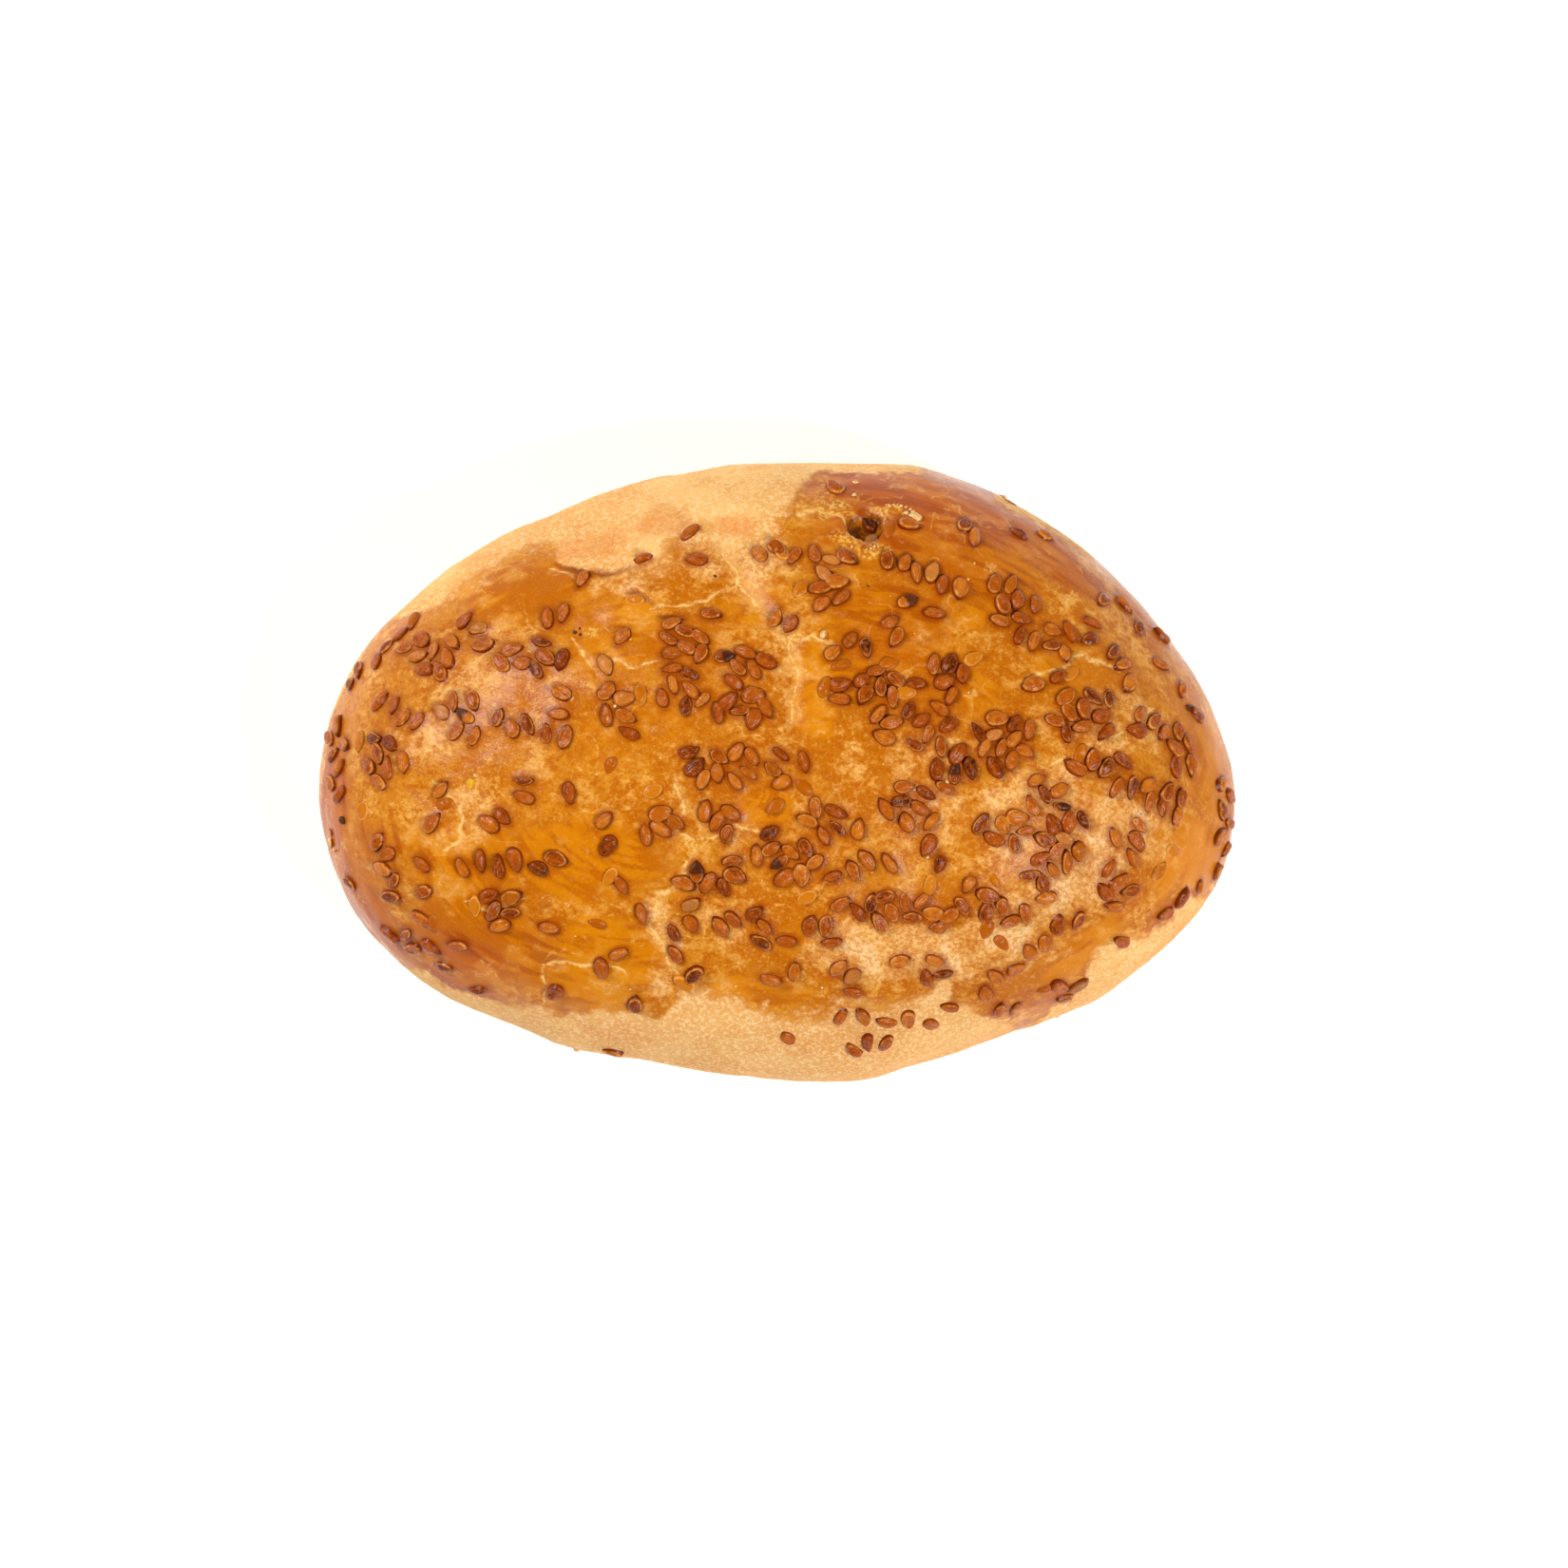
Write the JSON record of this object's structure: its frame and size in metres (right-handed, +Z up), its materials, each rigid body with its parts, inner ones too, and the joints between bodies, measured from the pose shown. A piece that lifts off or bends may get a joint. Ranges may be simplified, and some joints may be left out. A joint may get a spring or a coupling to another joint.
{
  "type": "cheese pogaca",
  "caption": "Small oval bread roll with a domed, egg-washed crust, a flat base and sesame seeds baked over its top.",
  "frame": {"origin": "the middle of the roll's bounding box in plan, on the surface that the roll stands on", "axes": "+X along the roll's length, towards the end that is more sharply rounded and lies on the right of the picture; +Y across it, towards the picture's top; +Z up, from the flat base to the crown"},
  "size_m": [0.1232, 0.0832, 0.045],
  "materials": {
    "crust": "egg-washed baked crust, amber and semi-gloss on top, pale and dull on the flanks",
    "sesame": "toasted sesame seed under egg wash, glossy red-brown"
  },
  "bodies": {
    "root": {"pogaca": "crust"}
  },
  "joints": []
}
